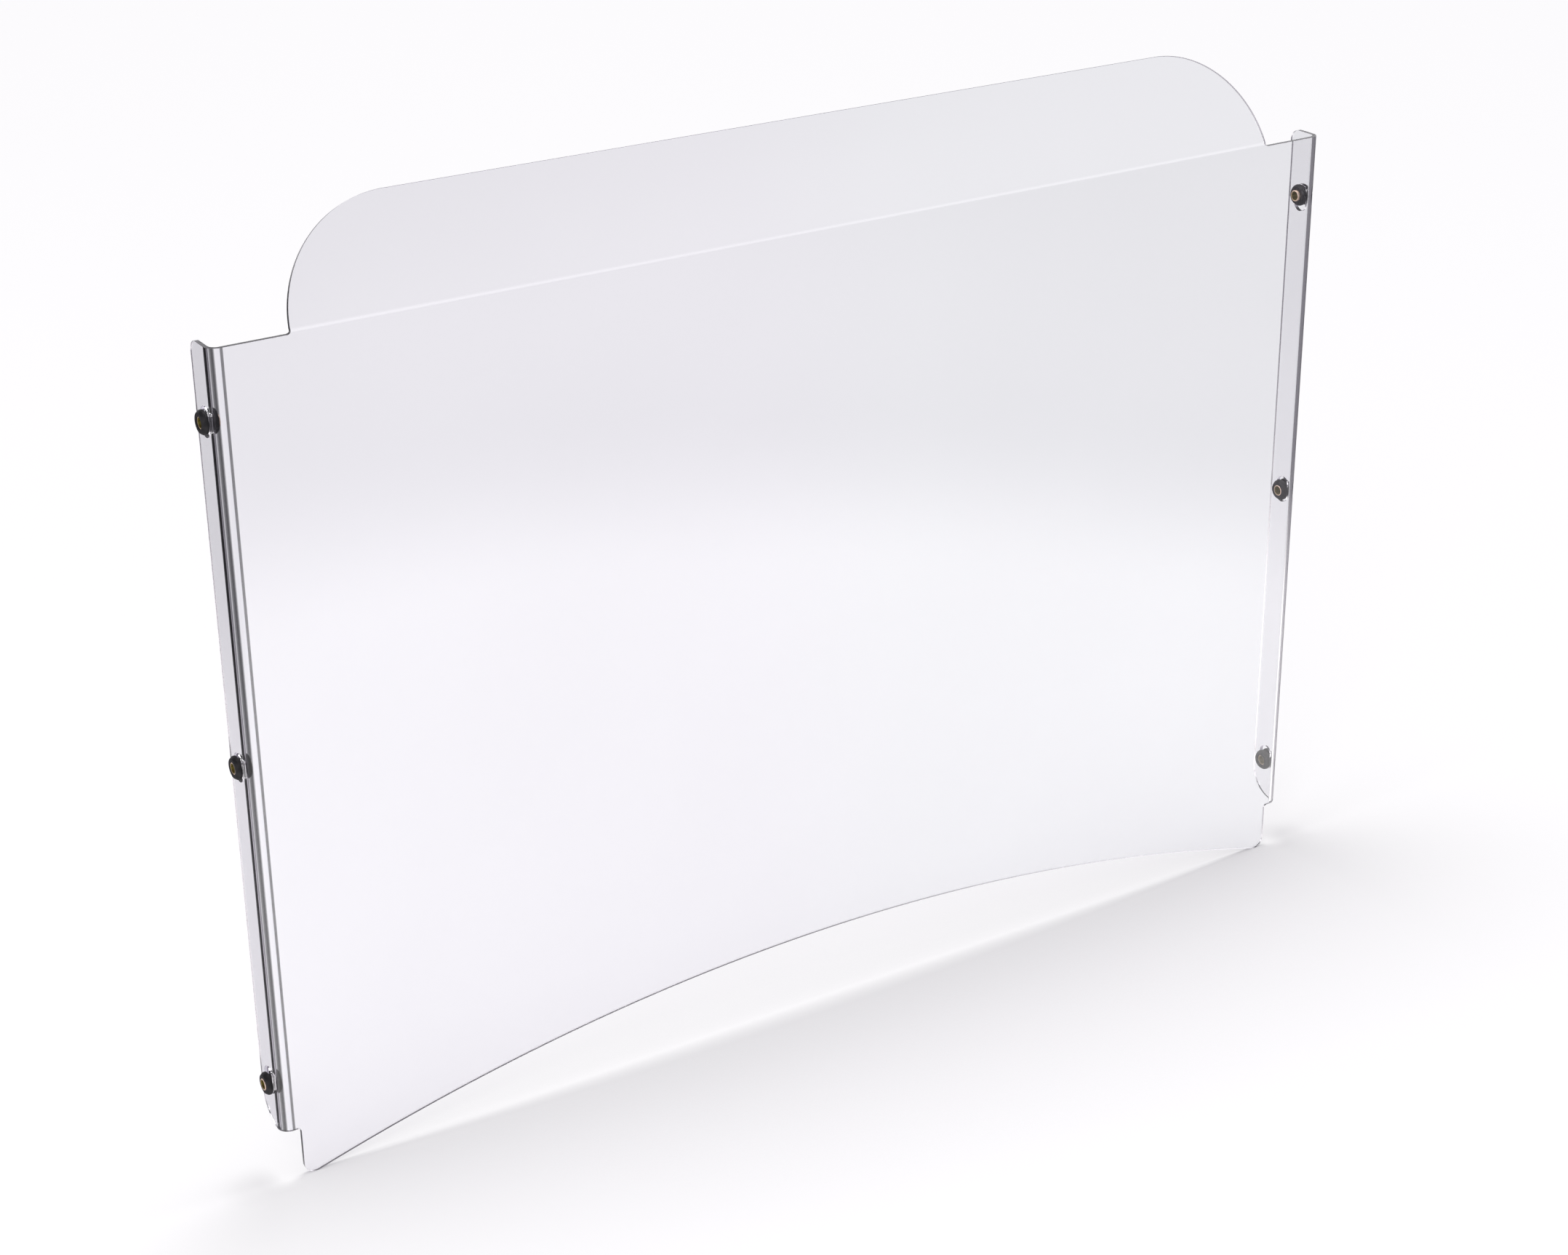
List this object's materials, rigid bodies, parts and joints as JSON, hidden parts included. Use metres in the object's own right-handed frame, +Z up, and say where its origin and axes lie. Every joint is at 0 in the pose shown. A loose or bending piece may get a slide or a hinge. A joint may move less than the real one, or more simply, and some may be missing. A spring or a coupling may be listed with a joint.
{
  "type": "desk privacy panel",
  "caption": "Clear bent-sheet privacy panel with a leaning top tab, an arched foot and side flanges, fixed by screws through sleeved rubber grommets in upright slots.",
  "frame": {"origin": "middle of the width and of the depth, at the level of the two foot tips", "axes": "+X along the width, to the right of a person facing the front; +Y from the front face to the back, where the flanges point and the tab leans; +Z up"},
  "size_m": [0.9104, 0.0356, 0.6797],
  "materials": {
    "clear_sheet": "clear polished sheet",
    "black_rubber": "satin moulded rubber",
    "brass": "turned, slightly tarnished in the bore"
  },
  "bodies": {
    "panel": {"clear_panel": "clear_sheet"},
    "mount_left_top": {"grommet_left_top": "black_rubber", "sleeve_left_top": "brass"},
    "mount_left_middle": {"grommet_left_middle": "black_rubber", "sleeve_left_middle": "brass"},
    "mount_left_bottom": {"grommet_left_bottom": "black_rubber", "sleeve_left_bottom": "brass"},
    "mount_right_top": {"grommet_right_top": "black_rubber", "sleeve_right_top": "brass"},
    "mount_right_middle": {"grommet_right_middle": "black_rubber", "sleeve_right_middle": "brass"},
    "mount_right_bottom": {"grommet_right_bottom": "black_rubber", "sleeve_right_bottom": "brass"}
  },
  "joints": [
    {"name": "slide_left_top", "type": "slide", "parent": "panel", "child": "mount_left_top", "axis": [0, 0, 1], "range_m": [-0.0043, 0.0043]},
    {"name": "slide_left_middle", "type": "slide", "parent": "panel", "child": "mount_left_middle", "axis": [0, 0, 1], "range_m": [-0.0046, 0.004]},
    {"name": "slide_left_bottom", "type": "slide", "parent": "panel", "child": "mount_left_bottom", "axis": [0, 0, 1], "range_m": [-0.0018, 0.0068]},
    {"name": "slide_right_top", "type": "slide", "parent": "panel", "child": "mount_right_top", "axis": [0, 0, 1], "range_m": [-0.0067, 0.0019]},
    {"name": "slide_right_middle", "type": "slide", "parent": "panel", "child": "mount_right_middle", "axis": [0, 0, 1], "range_m": [-0.0041, 0.0045]},
    {"name": "slide_right_bottom", "type": "slide", "parent": "panel", "child": "mount_right_bottom", "axis": [0, 0, 1], "range_m": [-0.0025, 0.0061]}
  ]
}
